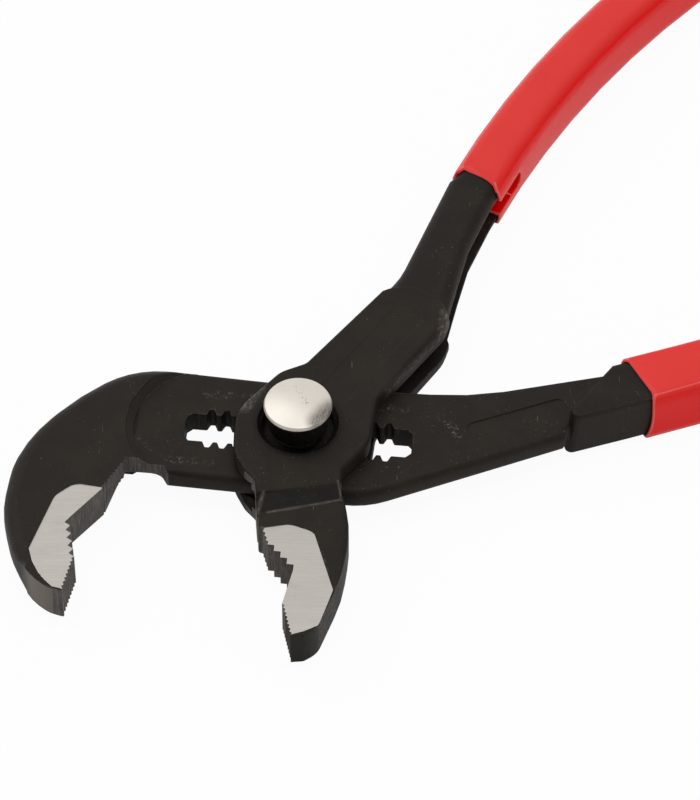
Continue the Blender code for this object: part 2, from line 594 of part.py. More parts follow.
def return_spring(frame):
    low = SPRING_LOW + SPRING_WIRE / 2
    rise = CEILING - RUN_CLEARANCE - SPRING_WIRE / 2 - low
    count = SPRING_TURNS * SPRING_POINTS
    points = []
    for i in range(count + 1):
        x, y = on_circle((0.0, 0.0), SPRING_RADIUS, 360.0 * i / SPRING_POINTS)
        points.append(Vector((x, y, low + rise * i / count)))
    gap = min(
        (points[i] - points[j]).length - SPRING_WIRE
        for i in range(count + 1)
        for j in range(i + SPRING_POINTS // 2, count + 1)
    )
    print(f"return_spring: least gap to itself {gap:.2f} mm")
    curve = bpy.data.curves.new("return_spring", "CURVE")
    curve.dimensions = "3D"
    curve.bevel_depth = SPRING_WIRE / 2 * MM
    curve.bevel_resolution = 1
    curve.use_fill_caps = True
    spline = curve.splines.new("POLY")
    spline.points.add(count)
    for point, place in zip(spline.points, points):
        point.co = (*(place * MM), 1.0)
    return finish(link(bpy.data.objects.new("return_spring", curve), PARTS, frame), SPRING_STEEL)


def spring_washer(frame):
    top = WASHER_LOW + WASHER
    profile = [
        (SHANK_HOLE, top), (WASHER_RADIUS, top), (WASHER_RADIUS, WASHER_LOW), (SHANK_HOLE, WASHER_LOW),
    ]
    return finish(turned("spring_washer", profile, frame, PARTS), SPRING_STEEL)


def grip_shell(name, spine, mouth, frame):
    """The coat round a handle: an outer form less the handle's own form and the gap round it."""
    outer = bar(spine, *mouth, grow=COAT_GAP + COAT)
    grip = plate(name, outer, -COAT_HALF, COAT_HALF, frame, PARTS, spine["edge"] + COAT_GAP + COAT, 3)
    lead = min(mouth) - HOLLOW_LEAD
    inside = bar(spine, lead, lead, grow=COAT_GAP)
    half = CORE_HALF + COAT_GAP
    hollow = plate(name + "_hollow", inside, -half, half, frame, CUTTERS, spine["edge"] + COAT_GAP, 3)
    return grip, hollow


def slotted_grip(frame):
    grip, hollow = grip_shell("slotted_grip", TANG_SPINE, TANG_MOUTH, frame)
    combine(grip, hollow, "DIFFERENCE")
    return finish(grip, RED_COAT)


def fork_grip(frame):
    """The coat round the fork's two strips: it lines the slit too, so its mouth has two lobes."""
    grip, hollow = grip_shell("fork_grip", FORK_SPINE, FORK_MOUTH, frame)

    def across(name, half, end):
        start = FORK_MOUTH[1] - 2 * HOLLOW_LEAD
        wide = FORK_WIDTH[0]
        sides = [beside(FORK_SPINE, start, wide), beside(FORK_SPINE, end, wide)]
        sides += [beside(FORK_SPINE, end, -wide), beside(FORK_SPINE, start, -wide)]
        return plate(name, sides, -half, half, frame, CUTTERS)

    lining = across("slit_lining", SLIT_HALF - COAT_GAP, SLIT_END - COAT_GAP)
    notch = across("slit_notch", SLIT_HALF - COAT_GAP - COAT, SLIT_END - COAT_GAP - COAT)
    combine(hollow, lining, "DIFFERENCE")
    combine(grip, hollow, "DIFFERENCE")
    combine(grip, notch, "DIFFERENCE")
    return finish(grip, RED_COAT)


def centre_on_ground(frame):
    """Moves the assembly so that the origin lies under the middle of its box, on the ground."""
    bpy.context.view_layer.update()
    graph = bpy.context.evaluated_depsgraph_get()
    corners = []
    for piece in PARTS.objects:
        if piece.type == "EMPTY":
            continue
        solid = piece.evaluated_get(graph)
        mesh = solid.to_mesh()
        corners += [solid.matrix_world @ vertex.co for vertex in mesh.vertices]
        solid.to_mesh_clear()
    low = [min(corner[axis] for corner in corners) for axis in range(3)]
    high = [max(corner[axis] for corner in corners) for axis in range(3)]
    frame.location = (-(low[0] + high[0]) / 2, -(low[1] + high[1]) / 2, -low[2])
    bpy.context.view_layer.update()
    print("pivot at", [round(1000 * value, 3) for value in frame.location], "mm")


def new_frame(name, parent=None, turn=0.0):
    frame = bpy.data.objects.new(name, None)
    frame.empty_display_size = 10 * MM
    PARTS.objects.link(frame)
    frame.parent = parent
    frame.rotation_euler.z = math.radians(turn)
    return frame


FORK_SPINE = spine(FORK_START, FORK_ANGLES, FORK_LENGTH, FORK_WIDTH, FORK_EDGE)
TANG_SPINE = spine(shifted([TANG_START], SPREAD)[0], TANG_ANGLES, TANG_LENGTH, TANG_WIDTH, TANG_EDGE)
clear_scene()
PARTS = new_collection("water_pump_pliers")
CUTTERS = new_collection("cutters")
pivot = new_frame("pivot")
slot_line = new_frame("slot_line", pivot, SLOT_TILT)
fork_arm(pivot)
slotted_arm(slot_line)
joint_bolt(slot_line)
push_button(slot_line)
return_spring(slot_line)
spring_washer(slot_line)
fork_grip(pivot)
slotted_grip(slot_line)
centre_on_ground(pivot)
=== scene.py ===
"""Looks of a pair of water pump pliers that lie on a pale table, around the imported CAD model."""

import json
import math

import bpy
from mathutils import Matrix, Vector


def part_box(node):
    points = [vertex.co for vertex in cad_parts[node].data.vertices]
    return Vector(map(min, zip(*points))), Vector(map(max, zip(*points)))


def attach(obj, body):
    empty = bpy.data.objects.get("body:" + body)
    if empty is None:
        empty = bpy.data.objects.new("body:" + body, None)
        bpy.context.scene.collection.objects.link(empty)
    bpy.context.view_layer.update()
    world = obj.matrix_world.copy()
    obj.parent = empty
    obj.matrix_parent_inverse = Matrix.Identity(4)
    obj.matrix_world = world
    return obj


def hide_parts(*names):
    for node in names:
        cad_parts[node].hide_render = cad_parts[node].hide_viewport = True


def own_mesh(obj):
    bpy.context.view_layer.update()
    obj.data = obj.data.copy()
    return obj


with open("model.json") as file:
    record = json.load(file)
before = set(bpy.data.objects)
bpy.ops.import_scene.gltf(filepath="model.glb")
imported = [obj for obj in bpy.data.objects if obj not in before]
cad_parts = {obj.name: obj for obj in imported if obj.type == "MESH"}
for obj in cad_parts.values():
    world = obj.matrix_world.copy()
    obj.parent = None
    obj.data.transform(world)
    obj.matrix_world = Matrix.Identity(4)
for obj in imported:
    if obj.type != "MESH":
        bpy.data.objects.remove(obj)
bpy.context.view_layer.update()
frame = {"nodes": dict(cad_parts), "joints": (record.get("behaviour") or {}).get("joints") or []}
bpy.ops.object.select_all(action="DESELECT")

# Camera. A long lens looks down on the tool from the jaws' side, so that the joint's button is a little left
# of the middle of the picture and both grips run out of it at the right and at the top.
VIEW_WIDTH, VIEW_HEIGHT = 700, 800
VIEW_TILT = math.radians(50.0)
VIEW_DISTANCE = 0.9
VIEW_FOCUS = 4410.0             # focal length in picture points
VIEW_SENSOR = 36.0
JOINT_SPOT = (298.2, 421.8)     # where the picture shows the cheek's face on the pivot axis
CHEEK_FACE = 0.0069             # height of that face over the tool's mid-plane

hinge = next(joint for joint in frame["joints"] if joint["name"] == "jaw_hinge")
pivot = Vector(hinge["pos_m"])
view_up = Vector((0.0, math.sin(VIEW_TILT), math.cos(VIEW_TILT)))
view_ahead = Vector((0.0, math.cos(VIEW_TILT), -math.sin(VIEW_TILT)))
point_size = VIEW_DISTANCE / VIEW_FOCUS
bpy.ops.object.camera_add(rotation=(math.pi / 2 - VIEW_TILT, 0.0, 0.0))
camera = bpy.context.object
camera.location = pivot + Vector((0.0, 0.0, CHEEK_FACE)) - view_ahead * VIEW_DISTANCE
camera.location.x -= (JOINT_SPOT[0] - VIEW_WIDTH / 2) * point_size
camera.location += view_up * (JOINT_SPOT[1] - VIEW_HEIGHT / 2) * point_size
camera.data.sensor_width = VIEW_SENSOR
camera.data.lens = VIEW_SENSOR * VIEW_FOCUS / VIEW_HEIGHT
bpy.context.scene.camera = camera
bpy.context.scene.view_settings.view_transform = "Standard"


# Table. A plain white sheet lies under the tool and takes its soft shadow. The camera sees it as almost pure
# white, and the metal mirrors a part of that.
TABLE_SIZE = 3.0
TABLE_DROP = 0.0002             # how far it lies below the tool's back face
TABLE_WHITE = (0.95, 0.95, 0.95, 1.0)
PURE_WHITE = (1.0, 1.0, 1.0, 1.0)
SEEN_WHITE = 0.95               # share of pure white that the camera sees
MIRRORED_WHITE = 0.3            # and that gloss and glass see


class Shade:
    """A socket of one material's nodes. Values are worked out as Python expressions."""

    def __init__(self, tree, socket=None):
        self.tree, self.socket = tree, socket

    def node(self, kind, settings=None, sockets=None, output=0):
        """Adds a node, makes its settings, feeds its sockets, and gives one of its outputs."""
        made = self.tree.nodes.new("ShaderNode" + kind)
        for name, value in (settings or {}).items():
            setattr(made, name, value)
        feed(made, sockets or {})
        return Shade(self.tree, made.outputs[output])

    def math(self, operation, *terms):
        return self.node("Math", {"operation": operation}, dict(enumerate(terms)))

    def __add__(self, other):
        return self.math("ADD", self, other)

    __radd__ = __add__

    def __mul__(self, other):
        return self.math("MULTIPLY", self, other)

    __rmul__ = __mul__

    def __sub__(self, other):
        return self.math("SUBTRACT", self, other)

    def __rsub__(self, other):
        return self.math("SUBTRACT", other, self)

    def __abs__(self):
        return self.math("ABSOLUTE", self)

    def __pow__(self, other):
        return self.math("POWER", self, other)


def feed(node, sockets):
    """Links a node's sockets to what varies over the surface, and sets the others to one value."""
    for name, value in sockets.items():
        if isinstance(value, Shade):
            value.tree.links.new(value.socket, node.inputs[name])
        else:
            node.inputs[name].default_value = value


def finish_of(name):
    """A new material with its Principled shader, and a start for its nodes."""
    made = bpy.data.materials.new(name)
    made.use_nodes = True
    return made, made.node_tree.nodes["Principled BSDF"], Shade(made.node_tree)


bpy.ops.mesh.primitive_plane_add(size=TABLE_SIZE, location=(0.0, 0.0, -TABLE_DROP))
table = bpy.context.object
table.name = "table"
table_white, sheet, start = finish_of("table_white")
feed(sheet, {"Base Color": TABLE_WHITE, "Roughness": 0.9, "Specular IOR Level": 0.0})
glow = start.node("Emission", sockets={"Color": PURE_WHITE, "Strength": 1.0})
seen = start.node("LightPath", output="Is Camera Ray") * SEEN_WHITE
for ray in ("Is Glossy Ray", "Is Transmission Ray"):
    seen = seen + start.node("LightPath", output=ray) * MIRRORED_WHITE
mixed = start.node("MixShader", sockets={0: seen, 1: Shade(start.tree, sheet.outputs[0]), 2: glow})
feed(start.tree.nodes["Material Output"], {"Surface": mixed})
table.data.materials.append(table_white)

# Light. An even room that is brighter behind and to the left, with three soft boxes: a large one behind on the
# left, a small one overhead, which draws the thin bright line along the grips, and a weak low one on the right.
ROOM_LEVEL = 0.70
ROOM_DIM = (0.33, 0.33, 0.33, 1.0)
SOFT_BOXES = [                  # place from the pivot, side and power
    ((-0.45, 0.20, 0.75), 0.9, 2.6),
    ((0.24, -0.06, 0.80), 0.30, 1.4),
    ((0.64, -0.26, 0.19), 0.3, 0.8),
]


def rising(value, low, high):
    """0 below low and 1 above high, with a soft step between them."""
    return value.node(
        "MapRange", {"interpolation_type": "SMOOTHSTEP"}, {"Value": value, "From Min": low, "From Max": high}
    )


def falling(value, low, high):
    """1 below low and 0 above high, with a soft step between them."""
    return 1.0 - rising(value, low, high)


def tinted(share, first, second):
    """The first colour where the share is 0, and the second where it is 1."""
    return share.node("Mix", {"data_type": "RGBA"}, {0: share, 6: first, 7: second}, 2)


world = bpy.data.worlds.new("studio")
bpy.context.scene.world = world
world.use_nodes = True
way = Shade(world.node_tree).node("TexCoord", output="Generated")
to_right, to_back = [way.node("SeparateXYZ", sockets={0: way}, output=axis) for axis in range(2)]
behind = rising(to_back - 0.5 * to_right, -0.15, 0.45)
feed(
    world.node_tree.nodes["Background"],
    {"Color": tinted(behind, ROOM_DIM, PURE_WHITE), "Strength": ROOM_LEVEL},
)
for place, size, power in SOFT_BOXES:
    bpy.ops.object.light_add(type="AREA", location=pivot + Vector(place))
    lamp = bpy.context.object
    lamp.data.size = size
    lamp.data.energy = power
    lamp.rotation_euler = (pivot - lamp.location).to_track_quat("-Z", "Y").to_euler()


# Fork arm. The lower jaw, both cheeks and the two strips of its handle are one steel forging, blackened in a
# hot bath. The sides of the jaw are then ground bright, its teeth are milled, and use wears the black from edges.
# Points in plan are in millimetres from the pivot, here and in the sections below.
LAND_HEIGHT = 0.00427           # ground sides of the jaws over the mid-plane
RIM_FOOT = 0.0019               # below this height the jaw's rim stays as it was forged
FORK_LAND = [(3.8, -28.7), (7.2, -41.2), (4.5, -49.9), (1.5, -51.4), (-1.5, -52.3)]     # their outer border
FORK_LAND_MIDDLE = (2.0, -38.0)
FORK_TIP = (3.4, -48.6)         # round here the rim is ground to a sharp edge
FORK_TIP_REACH = (15.0, 21.0)   # fully up to the first distance, and no more at the second
FORK_GRINDING = 0.15            # turn of the grinding lines
MOUTH_MIDDLE = Vector((-0.027, -0.033, 0.0))
MOUTH_REACH = 0.0285
MOUTH_TOP, THROAT_END = -0.013, -0.0255    # the arm's own edge begins there
CHEEK_EDGES = [                 # that the hand and the other arm rub
    ((30.7, 29.5), (29.8, 23.0)),
    ((29.8, 23.0), (19.2, 8.6)),
    ((-8.2, 9.1), (-10.9, 3.8)),
]
CHEEK_PANEL = ((4.1, 3.2), (22.1, 28.3))
CHEEK_PANEL_DEPTH = 0.00010
RAMP_BORDERS = [                # of the ramp between cheek and jaw, and how wide each is burred
    (((-6.0, -21.7), (8.6, -18.75)), 0.0004),
    (((-6.9, -18.2), (-8.0, -21.9)), 0.0007),
    (((8.1, -15.4), (8.85, -18.7)), 0.0004),
]
JAW_SIDE = ((7.6, -41.5), (4.9, -49.6))
JAW_END = ((-1.2, -52.8), (2.0, -52.2))
BLACK_DEEP = (0.0085, 0.0066, 0.0053, 1.0)
BLACK_BROWN = (0.0215, 0.0165, 0.0125, 1.0)
BLACK_SHEEN = (1.0, 0.90, 0.81, 1.0)
# painted shade: near black for faces that lie in shade
BLACK_PAINTED_SHADE = (0.0022, 0.0018, 0.0014, 1.0)
# pale steel of wear, also used for painted light and reflection on the slotted arm
WORN_STEEL_AND_SHEEN = (0.30, 0.26, 0.225, 1.0)
GROUND_PALE = (0.62, 0.585, 0.54, 1.0)
GROUND_DARK = (0.48, 0.45, 0.415, 1.0)
MILLED_PALE = (0.19, 0.165, 0.15, 1.0)
MILLED_DARK = (0.055, 0.047, 0.042, 1.0)


def pick(piece):
    """Leaves one piece selected and active, for the operators that follow."""
    bpy.ops.object.select_all(action="DESELECT")
    piece.select_set(True)
    bpy.context.view_layer.objects.active = piece


def joined_copy(node, name):
    """A copy of a node's solid with its loose triangles joined and its flat faces whole."""
    piece = bpy.data.objects.new(name, frame["nodes"][node].data.copy())
    bpy.context.collection.objects.link(piece)
    piece.data.materials.clear()
    pick(piece)
    bpy.ops.object.mode_set(mode="EDIT")
    bpy.ops.mesh.select_all(action="SELECT")
    bpy.ops.mesh.customdata_custom_splitnormals_clear()
    bpy.ops.mesh.remove_doubles(threshold=0.000002)
    bpy.ops.mesh.dissolve_limited(angle_limit=math.radians(0.4))
    bpy.ops.object.mode_set(mode="OBJECT")
    return piece


def smooth_curves(piece, crisp=True):
    """Shades the curves of a finished piece smooth, and leaves its edges sharp, and the borders of its finishes
    too where they are crisp."""
    pick(piece)
    bpy.ops.object.shade_smooth_by_angle(angle=math.radians(38.0))
    finishes = {}
    for face in piece.data.polygons:
        for ends in face.edge_keys:
            finishes.setdefault(ends, set()).add(face.material_index)
    for edge in piece.data.edges:
        edge.use_edge_sharp = edge.use_edge_sharp or (crisp and len(finishes[edge.key]) > 1)
    even = piece.modifiers.new("even", "WEIGHTED_NORMAL")
    even.keep_sharp = True
    bpy.ops.object.modifier_apply(modifier=even.name)


def grain(spot, size, detail=2.0, roughness=0.5):
    """Noise from 0 to 1 whose grains are about this size in metres."""
    sockets = {"Vector": spot, "Scale": 1.0 / size, "Detail": detail, "Roughness": roughness}
    return spot.node("TexNoise", sockets=sockets)


def drawn_out(spot, scale, turn=(0.0, 0.0, 0.0)):
    """Places for a grain that is drawn out into lines, along the axes with a small scale."""
    return spot.node("Mapping", sockets={"Vector": spot, "Rotation": turn, "Scale": scale})


def from_pivot(spot):
    """Distance from the pivot along each axis, in metres."""
    return [spot.node("SeparateXYZ", sockets={0: spot}, output=axis) - pivot[axis] for axis in range(3)]


def off_line(x, y, line):
    """Distance in plan from a line between two points."""
    (first_x, first_y), (last_x, last_y) = [(end[0] / 1000.0, end[1] / 1000.0) for end in line]
    length = math.hypot(last_x - first_x, last_y - first_y)
    run_x, run_y = (last_x - first_x) / length, (last_y - first_y) / length
    along = (x - first_x) * run_x + (y - first_y) * run_y
    along = along.math("MINIMUM", along.math("MAXIMUM", along, 0.0), length)
    side_x, side_y = x - first_x - along * run_x, y - first_y - along * run_y
    return (side_x * side_x + side_y * side_y) ** 0.5


def eased_edges(start, radius):
    """The surface's normal, with the sharp edges of a piece eased."""
    return start.node("Bevel", {"samples": 8}, {"Radius": radius})


def worn_edges(eased):
    """1 on the sharp edges of a piece, and 0 on its flats."""
    flat = eased.node("NewGeometry", output="Normal")
    turn = eased.node("VectorMath", {"operation": "DOT_PRODUCT"}, {0: eased, 1: flat}, 1)
    return rising(1.0 - turn, 0.01, 0.14)


def raised(height, strength, distance, below):
    """The normal of a relief that lies over the normal below it."""
    sockets = {"Strength": strength, "Distance": distance, "Height": height, "Normal": below}
    return height.node("Bump", sockets=sockets)


def blackened_steel(name, marks):
    """Black finish of a forging, with its own marks on it, each a share of 0 to 1: worn places and places of painted
    light, places painted in deep shade, places that are sheltered from wear, and its shallow relief in metres."""
    made, steel, start = finish_of(name)
    spot = start.node("TexCoord", output="Object")
    own = marks(spot, *from_pivot(spot))
    cloud = rising(grain(spot, 0.009, 4.0, 0.6), 0.35, 0.68)
    fine = grain(spot, 0.0011, 3.0, 0.65)
    speck = rising(grain(spot, 0.00042, 1.0), 0.70, 0.78) * rising(grain(spot, 0.006), 0.42, 0.62)
    slanting = drawn_out(spot, (1.0, 0.07, 1.0), (0.0, 0.0, 0.7))
    scratch = rising(grain(slanting, 0.0003, 1.0), 0.74, 0.80) * rising(grain(spot, 0.012), 0.5, 0.62)
    eased = eased_edges(start, 0.0004)
    worn = worn_edges(eased) * rising(grain(spot, 0.0022, 3.0, 0.7) + 0.5 * grain(spot, 0.012), 0.70, 0.95)
    if "sheltered" in own:
        worn = worn * (1.0 - own["sheltered"])
    colour = tinted(cloud * 0.6 + fine * 0.4, BLACK_DEEP, BLACK_BROWN)
    # Painted shade: the marks' shaded share turns the black to near black.
    colour = tinted(own["shaded"], colour, BLACK_PAINTED_SHADE)
    colour = tinted(speck * 0.35 + scratch * 0.40, colour, WORN_STEEL_AND_SHEEN)
    colour = tinted(worn * 0.40, colour, WORN_STEEL_AND_SHEEN)
    # Wear, and on the slotted arm painted light and reflection too: the rubbed share turns the black pale.
    colour = tinted(own["wear_and_painted_light"], colour, WORN_STEEL_AND_SHEEN)
    relief = raised(grain(spot, 0.0005, 3.0, 0.6), 0.20, 0.00012, eased)
    if "relief" in own:
        relief = raised(own["relief"], 1.0, 1.0, relief)
    feed(steel, {
        "Base Color": colour,
        "Roughness": 0.42 + 0.20 * fine + 0.08 * cloud,
        "Normal": relief,
        "Metallic": worn * 0.3,
        "Specular IOR Level": 0.22,
        "Specular Tint": BLACK_SHEEN,
    })
    return made


def ground_steel(name, turn):
    """Jaw sides from the surface grinder: fine straight lines, all one way."""
    made, steel, start = finish_of(name)
    spot = start.node("TexCoord", output="Object")
    along = drawn_out(spot, (0.03, 1.0, 0.3), (0.0, 0.0, turn))
    line = grain(along, 0.00009, 3.0, 0.7)
    band = grain(along, 0.0007)
    stain = rising(grain(spot, 0.0045, 3.0, 0.6), 0.5, 0.8)
    colour = tinted(rising(0.75 * line + 0.25 * band, 0.20, 0.80), GROUND_DARK, GROUND_PALE)
    feed(steel, {
        "Base Color": tinted(stain * 0.10, colour, MILLED_PALE),
        "Roughness": 0.42 + 0.2 * line,
        "Normal": raised(line, 0.15, 0.00002, eased_edges(start, 0.0002)),
        "Metallic": 0.6,
    })
    return made


def milled_steel():
    """Teeth and walls of the mouth: darkened again after the cutter, with its upright lines left in them."""
    made, steel, start = finish_of("milled_steel")
    spot = start.node("TexCoord", output="Object")
    line = grain(drawn_out(spot, (1.0, 1.0, 0.06), (0.12, 0.0, 0.0)), 0.00022, 3.0, 0.7)
    stain = rising(grain(spot, 0.0016, 3.0, 0.6), 0.35, 0.75)
    eased = eased_edges(start, 0.00025)
    colour = tinted(rising(line, 0.35, 0.72), MILLED_DARK, MILLED_PALE)
    colour = tinted(stain * 0.45, colour, MILLED_DARK)
    feed(steel, {
        "Base Color": tinted(worn_edges(eased) * 0.45, colour, WORN_STEEL_AND_SHEEN),
        "Roughness": 0.45 + 0.2 * line,
        "Normal": raised(line, 0.5, 0.00006, eased),
        "Metallic": 0.25,
        "Specular IOR Level": 0.3,
    })
    return made


def share_of(value, none, full):
    """0 at none, 1 at full, and even between them."""
    return min(1.0, max(0.0, (value - none) / (full - none)))


def square_rim(piece, spot, reach):
    """Grinds the jaw's rounded rim to a sharp edge near a spot, and lets it run out round that."""
    full, none = reach
    for vertex in piece.data.vertices:
        place = (vertex.co - pivot) * 1000.0
        share = share_of(math.hypot(place.x - spot[0], place.y - spot[1]), none, full)
        height = abs(place.z) / 1000.0
        if share > 0.0 and RIM_FOOT < height < LAND_HEIGHT:
            height += share * (LAND_HEIGHT - height)
            vertex.co.z = pivot.z + math.copysign(height, place.z)


def on_land(face):
    """True on the level faces at the height of the jaws' ground sides."""
    return abs(face.normal.z) > 0.99 and abs(abs(face.center.z - pivot.z) - LAND_HEIGHT) < 0.00003


def in_mouth(face):
    """True on the upright walls that look into the mouth of the jaws: teeth, vees and throat."""
    way = MOUTH_MIDDLE - (face.center - pivot)
    way.z = 0.0
    beside_arm = face.center.y - pivot.y > MOUTH_TOP and face.center.x - pivot.x > THROAT_END
    looks_in = way.length < MOUTH_REACH and way.normalized().dot(face.normal) > 0.02
    return abs(face.normal.z) < 0.3 and looks_in and not beside_arm


def grind(piece, ground, border, middle, at_end):
    """Parts the ground sides of a jaw from its black rim along a border, and gives each its finish."""
    cuts = []
    for first, last in zip(border, border[1:]):
        aside = Vector((first[1] - last[1], last[0] - first[0], 0.0)).normalized()
        if aside.dot(Vector((middle[0] - first[0], middle[1] - first[1], 0.0))) < 0.0:
            aside = -aside
        cuts.append((pivot + Vector((first[0], first[1], 0.0)) / 1000.0, aside))
    for place, aside in cuts:
        for face in piece.data.polygons:
            face.select = on_land(face)
        bpy.ops.object.mode_set(mode="EDIT")
        bpy.ops.mesh.bisect(plane_co=place, plane_no=aside)
        bpy.ops.object.mode_set(mode="OBJECT")
    for finish in (ground, milled):
        piece.data.materials.append(finish)
    for face in piece.data.polygons:
        if on_land(face) and all((face.center - place).dot(aside) > 0.0 for place, aside in cuts):
            face.material_index = 1
        elif in_mouth(face) or at_end(face):
            face.material_index = 2


def fork_marks(spot, x, y, z):
    """Rubbed edges of the front cheek, the burred border of its ramp, the bright rim of the slit and the worn side
    of the jaw. The ramp, the jaw's end and the well round the button are painted in deep shade, and a panel is
    sunk in the cheek."""
    patch = rising(grain(spot, 0.0009, 3.0, 0.7), 0.45, 0.75)
    edge = off_line(x, y, CHEEK_EDGES[0])
    for line in CHEEK_EDGES[1:]:
        edge = edge.math("MINIMUM", edge, off_line(x, y, line))
    wear_and_painted_light = falling(edge, 0.0003, 0.0019) * (0.12 + 0.55 * patch) * rising(z, 0.0035, 0.0045)
    wander = 0.0006 * grain(spot, 0.0018, 3.0, 0.7) - 0.0003
    burr = sum(falling(abs(off_line(x, y, line) + wander), 0.0, width) for line, width in RAMP_BORDERS)
    burr = burr * (0.16 + 0.34 * patch) * rising(z, 0.0035, 0.0042)
    slit = rising(z, 0.00291, 0.00294) * falling(z, 0.0031, 0.0034) * rising(y, 0.022, 0.030)
    slit = slit * (0.12 + 0.30 * patch)
    below_land = falling(abs(z), LAND_HEIGHT - 0.0003, LAND_HEIGHT - 0.0001)
    side = falling(off_line(x, y, JAW_SIDE), 0.0003, 0.0010) * below_land * patch * 0.25
    end = falling(off_line(x, y, JAW_END), 0.0005, 0.0011) * below_land
    # Painted shade: the ramp, the jaw's end face and the well round the button are darkened to near black.
    ramp = rising(z, 0.00445, 0.0048) * falling(z, 0.0064, 0.0068) * falling(y, -0.0150, -0.0135)
    well = falling((x * x + y * y) ** 0.5, 0.0088, 0.0097) * 0.6
    round_panel = rising(off_line(x, y, CHEEK_PANEL), 0.0031, 0.0037) * rising(z, 0.0064, 0.0067)
    return {
        "wear_and_painted_light": wear_and_painted_light + burr + slit + side,
        "shaded": ramp + end + well,
        "relief": round_panel * CHEEK_PANEL_DEPTH,
    }


milled = milled_steel()
fork = joined_copy("fork_arm", "fork_forging")
fork.data.materials.append(blackened_steel("fork_black", fork_marks))
square_rim(fork, FORK_TIP, FORK_TIP_REACH)
fork_ground = ground_steel("fork_ground", FORK_GRINDING)
grind(fork, fork_ground, FORK_LAND, FORK_LAND_MIDDLE, lambda face: False)
smooth_curves(fork)
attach(fork, "fork")
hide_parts("fork_arm")

# Slotted arm. The hooked upper jaw, the toothed slot and the arm with its tang are one forging too, with the
# same black finish, ground and milled as the other jaw is. The cheeks have scuffed a ring round the slot.
SLOT_TILT = math.radians(-5.8)
SCUFF_RUN = 24.0                # half the length of the ring's straight sides
SLOTTED_LAND = [(-53.5, -31.5), (-52.9, -34.0), (-51.7, -36.5), (-50.3, -38.5), (-48.8, -40.2), (-46.3, -41.0)]
SLOTTED_LAND_MIDDLE = (-48.0, -27.0)
SLOTTED_TIP = (-49.0, -39.5)
SLOTTED_TIP_REACH = (6.0, 10.5)
SLOTTED_GRINDING = 0.6
# painted reflection: the outer wall at the hook's tip is made paler, as if it mirrored the bright table
HOOK_WALL = ((-52.0, -38.5), (-47.5, -42.0))    # outer wall at the hook's tip
HOOK_END = Vector((-0.0477, -0.0410, 0.0))
HOOK_END_REACH = 0.0048
PANEL_MIDDLE = ((36.24, 1.40), (53.68, 7.63))
# the panel's upper edge, where a painted shadow line runs
PANEL_TOP = ((35.56, 3.32), (52.97, 9.61))
PANEL_END_BOX = ((48.5, 9.5, 2.25), (51.7, 13.9, 2.65))     # in mm along and across the slot, and up
PANEL_FLOOR_BOX = ((34.0, 3.0, 2.25), (51.7, 13.9, 2.35))
PANEL_STRETCH = Vector((0.0028, 0.00132, 0.0))
PANEL_LIFT = 0.00012
TANG_WAY = math.radians(17.2)
TANG_HALF = 6.0                 # half its thickness, in mm
TANG_CORNER = (58.0, 10.0)      # in mm along and across the slot
TANG_CORNER_REACH = 2.4
TANG_DRAWN = (1.5, 2.9)         # at the front and at the back, in mm


def heading(angle):
    return Vector((math.cos(angle), math.sin(angle), 0.0))


def slotted_marks(spot, x, y, z):
    """Pale scuffs in a ring round the slot, but few at its lower right, and streaks in the slot. Painted light on the
    step of the hook, and a painted reflection that lightens the wall near its tip. The panel is sheltered from wear,
    with a painted shadow line along its upper edge."""
    run = heading(SLOT_TILT) * SCUFF_RUN
    away = off_line(x, y, (-run, run))
    patch = rising(grain(spot, 0.0007, 3.0, 0.75), 0.52, 0.72) * rising(grain(spot, 0.007), 0.42, 0.62)
    clean = rising(x, 0.0, 0.010) * falling(y, -0.008, -0.001)
    ring = rising(away, 0.0076, 0.0088) * falling(away, 0.0092, 0.0104) * patch * (1.0 - clean)
    streak = rising(grain(drawn_out(spot, (1.0, 1.0, 0.05)), 0.0006), 0.52, 0.72)
    streak = streak * falling(away, 0.0060, 0.0064) * falling(abs(z), 0.0022, 0.0025)
    # Painted light: the step up to the hook, which lies in shade, is made a little paler.
    step = rising(z, 0.00262, 0.00275) * falling(z, 0.0041, 0.00425)
    step = step * rising(x, -0.050, -0.044) * falling(x, -0.026, -0.022)
    # Painted reflection: the hook's outer wall near its tip is made paler.
    tip = falling(off_line(x, y, HOOK_WALL), 0.001, 0.0065)
    tip = tip * falling(abs(z), LAND_HEIGHT - 0.0004, LAND_HEIGHT - 0.0001)
    return {
        # Wear, with the painted light on the step and the painted reflection near the tip.
        "wear_and_painted_light": ring * 0.60 + tip * 0.55 + streak * 0.10 + step * 0.05,
        "sheltered": falling(off_line(x, y, PANEL_MIDDLE), 0.0026, 0.0032),
        # Painted shadow: a dark line along the panel's upper edge.
        "shaded": falling(off_line(x, y, PANEL_TOP), 0.00005, 0.00028) * 0.8,
    }


def at_hook_end(face):
    """True on the sawn end of the hook."""
    return face.normal.y < -0.93 and (face.center - pivot - HOOK_END).length < HOOK_END_REACH


def inside(place, box):
    return all(low < value < high for low, value, high in zip(box[0], place, box[1]))


def stretch_panel(piece):
    """Draws the sunk panel on the arm out towards the tang, to its full length, and makes it shallower."""
    turn = Matrix.Rotation(-SLOT_TILT, 3, "Z")
    for vertex in piece.data.vertices:
        place = turn @ (vertex.co - pivot) * 1000.0
        if inside(place, PANEL_END_BOX):
            vertex.co += turn.inverted() @ PANEL_STRETCH
        if inside(place, PANEL_FLOOR_BOX):
            vertex.co.z += PANEL_LIFT


